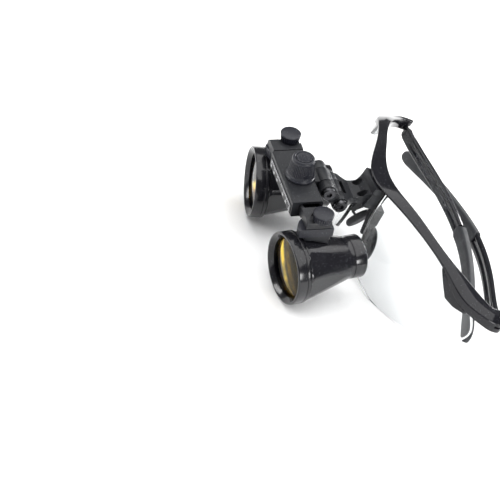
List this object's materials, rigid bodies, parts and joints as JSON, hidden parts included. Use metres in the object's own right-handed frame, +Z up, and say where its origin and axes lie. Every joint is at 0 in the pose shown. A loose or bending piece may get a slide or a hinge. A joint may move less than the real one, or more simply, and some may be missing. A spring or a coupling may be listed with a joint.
{
  "type": "dental loupes",
  "caption": "Flip-up magnifying loupes on a spectacle frame with folding temples, a sliding pupil gauge, and two swivelling barrels.",
  "frame": {"origin": "middle of the footprint on the surface that the loupes stand on, with both temples folded", "axes": "+X is the wearer's left and runs along the brow, -Y is the way the wearer looks, +Z is up"},
  "size_m": [0.1468, 0.1124, 0.0571],
  "materials": {
    "gloss_black": "polished injection-moulded nylon",
    "satin_black": "satin moulded black",
    "knob_black": "fine satin black",
    "barrel_black": "semi-gloss black paint on aluminium",
    "baffle_black": "matt anti-reflection black",
    "soft_rubber": "matt soft-touch rubber",
    "clear_lens": "clear polycarbonate",
    "coated_glass": "optical glass with an amber reflecting coating",
    "eyepiece_glass": "optical glass",
    "steel": "plain steel",
    "black_screw": "blackened steel",
    "brass": "machined brass",
    "scale_print": "black strip with white ruled marks"
  },
  "bodies": {
    "frame": {"brow_bar": "gloss_black", "hinge_pins": "steel", "lens_left": "clear_lens", "lens_right": "clear_lens", "lens_clip_left": "gloss_black", "lens_clip_right": "gloss_black", "nose_bridge": "satin_black", "bridge_bracket": "satin_black", "pivot_screw_rear": "black_screw", "bracket_screws": "steel"},
    "flip_link": {"link_arm": "satin_black", "pivot_screw_front": "black_screw"},
    "gauge": {"pd_housing": "satin_black", "housing_plate": "satin_black", "housing_screws": "steel", "scale_strip": "scale_print"},
    "pd_knob": {"pd_knob": "knob_black", "knob_cap": "knob_black", "pinion": "brass"},
    "nose_pad_left": {"nose_pad_left": "soft_rubber"},
    "temple_left": {"temple_arm_left": "gloss_black", "temple_sleeve_left": "soft_rubber"},
    "carriage_left": {"slide_left": "satin_black", "swivel_pin_left": "steel"},
    "thumb_knob_left": {"thumb_knob_left": "knob_black"},
    "barrel_left": {"swivel_disc_left": "knob_black", "saddle_left": "satin_black", "barrel_shell_left": "barrel_black", "bezel_ring_left": "barrel_black", "objective_lens_left": "coated_glass", "objective_spacer_left": "baffle_black", "eyepiece_ring_left": "barrel_black", "eyepiece_lens_left": "eyepiece_glass", "lens_retainer_left": "baffle_black"},
    "nose_pad_right": {"nose_pad_right": "soft_rubber"},
    "temple_right": {"temple_arm_right": "gloss_black", "temple_sleeve_right": "soft_rubber"},
    "carriage_right": {"slide_right": "satin_black", "swivel_pin_right": "steel"},
    "thumb_knob_right": {"thumb_knob_right": "knob_black"},
    "barrel_right": {"swivel_disc_right": "knob_black", "saddle_right": "satin_black", "barrel_shell_right": "barrel_black", "bezel_ring_right": "barrel_black", "objective_lens_right": "coated_glass", "objective_spacer_right": "baffle_black", "eyepiece_ring_right": "barrel_black", "eyepiece_lens_right": "eyepiece_glass", "lens_retainer_right": "baffle_black"}
  },
  "joints": [
    {"name": "link_tilt", "type": "hinge", "parent": "frame", "child": "flip_link", "pos_m": [0, -0.02711, 0.03911], "axis": [-1, 0, 0], "range_deg": [-6, 20]},
    {"name": "flip_up", "type": "hinge", "parent": "flip_link", "child": "gauge", "pos_m": [0, -0.03526, 0.04524], "axis": [-1, 0, 0], "range_deg": [0, 75]},
    {"name": "slide_left", "type": "slide", "parent": "gauge", "child": "carriage_left", "axis": [1, 0, 0], "range_m": [-0.0015, 0.006]},
    {"name": "slide_right", "type": "slide", "parent": "gauge", "child": "carriage_right", "axis": [-1, 0, 0], "range_m": [-0.0015, 0.006]},
    {"name": "knob_turn", "type": "hinge", "parent": "gauge", "child": "pd_knob", "pos_m": [0, -0.04655, 0.04565], "axis": [0, -0.1946, 0.9809], "range_deg": [-34.4, 137.6]},
    {"name": "swivel_left", "type": "hinge", "parent": "carriage_left", "child": "barrel_left", "pos_m": [0.0279, -0.04431, 0.03794], "axis": [0, 0.1946, -0.9809], "range_deg": [-3, 14]},
    {"name": "clamp_left", "type": "hinge", "parent": "carriage_left", "child": "thumb_knob_left", "pos_m": [0.0276, -0.04361, 0.04624], "axis": [0, -0.1946, 0.9809], "range_deg": [0, 180]},
    {"name": "temple_left_fold", "type": "hinge", "parent": "frame", "child": "temple_left", "pos_m": [0.0696, 0.03524, 0.03119], "axis": [0, -0.1968, -0.9804], "range_deg": [0, 82]},
    {"name": "pad_left_swivel", "type": "hinge", "parent": "frame", "child": "nose_pad_left", "pos_m": [0.0089, -0.00342, 0.01794], "axis": [0, 0.1968, 0.9804], "range_deg": [-8, 8]},
    {"name": "swivel_right", "type": "hinge", "parent": "carriage_right", "child": "barrel_right", "pos_m": [-0.0279, -0.04431, 0.03794], "axis": [0, -0.1946, 0.9809], "range_deg": [-3, 14]},
    {"name": "clamp_right", "type": "hinge", "parent": "carriage_right", "child": "thumb_knob_right", "pos_m": [-0.0276, -0.04361, 0.04624], "axis": [0, -0.1946, 0.9809], "range_deg": [0, 180]},
    {"name": "temple_right_fold", "type": "hinge", "parent": "frame", "child": "temple_right", "pos_m": [-0.0696, 0.03524, 0.03119], "axis": [0, 0.1968, 0.9804], "range_deg": [0, 1.5]},
    {"name": "pad_right_swivel", "type": "hinge", "parent": "frame", "child": "nose_pad_right", "pos_m": [-0.0089, -0.00342, 0.01794], "axis": [0, 0.1968, 0.9804], "range_deg": [-8, 8]}
  ],
  "couplings": [
    {"joint": "slide_right", "follows": "slide_left", "ratio": 1},
    {"joint": "knob_turn", "follows": "slide_left", "rad_per_m": 400}
  ]
}
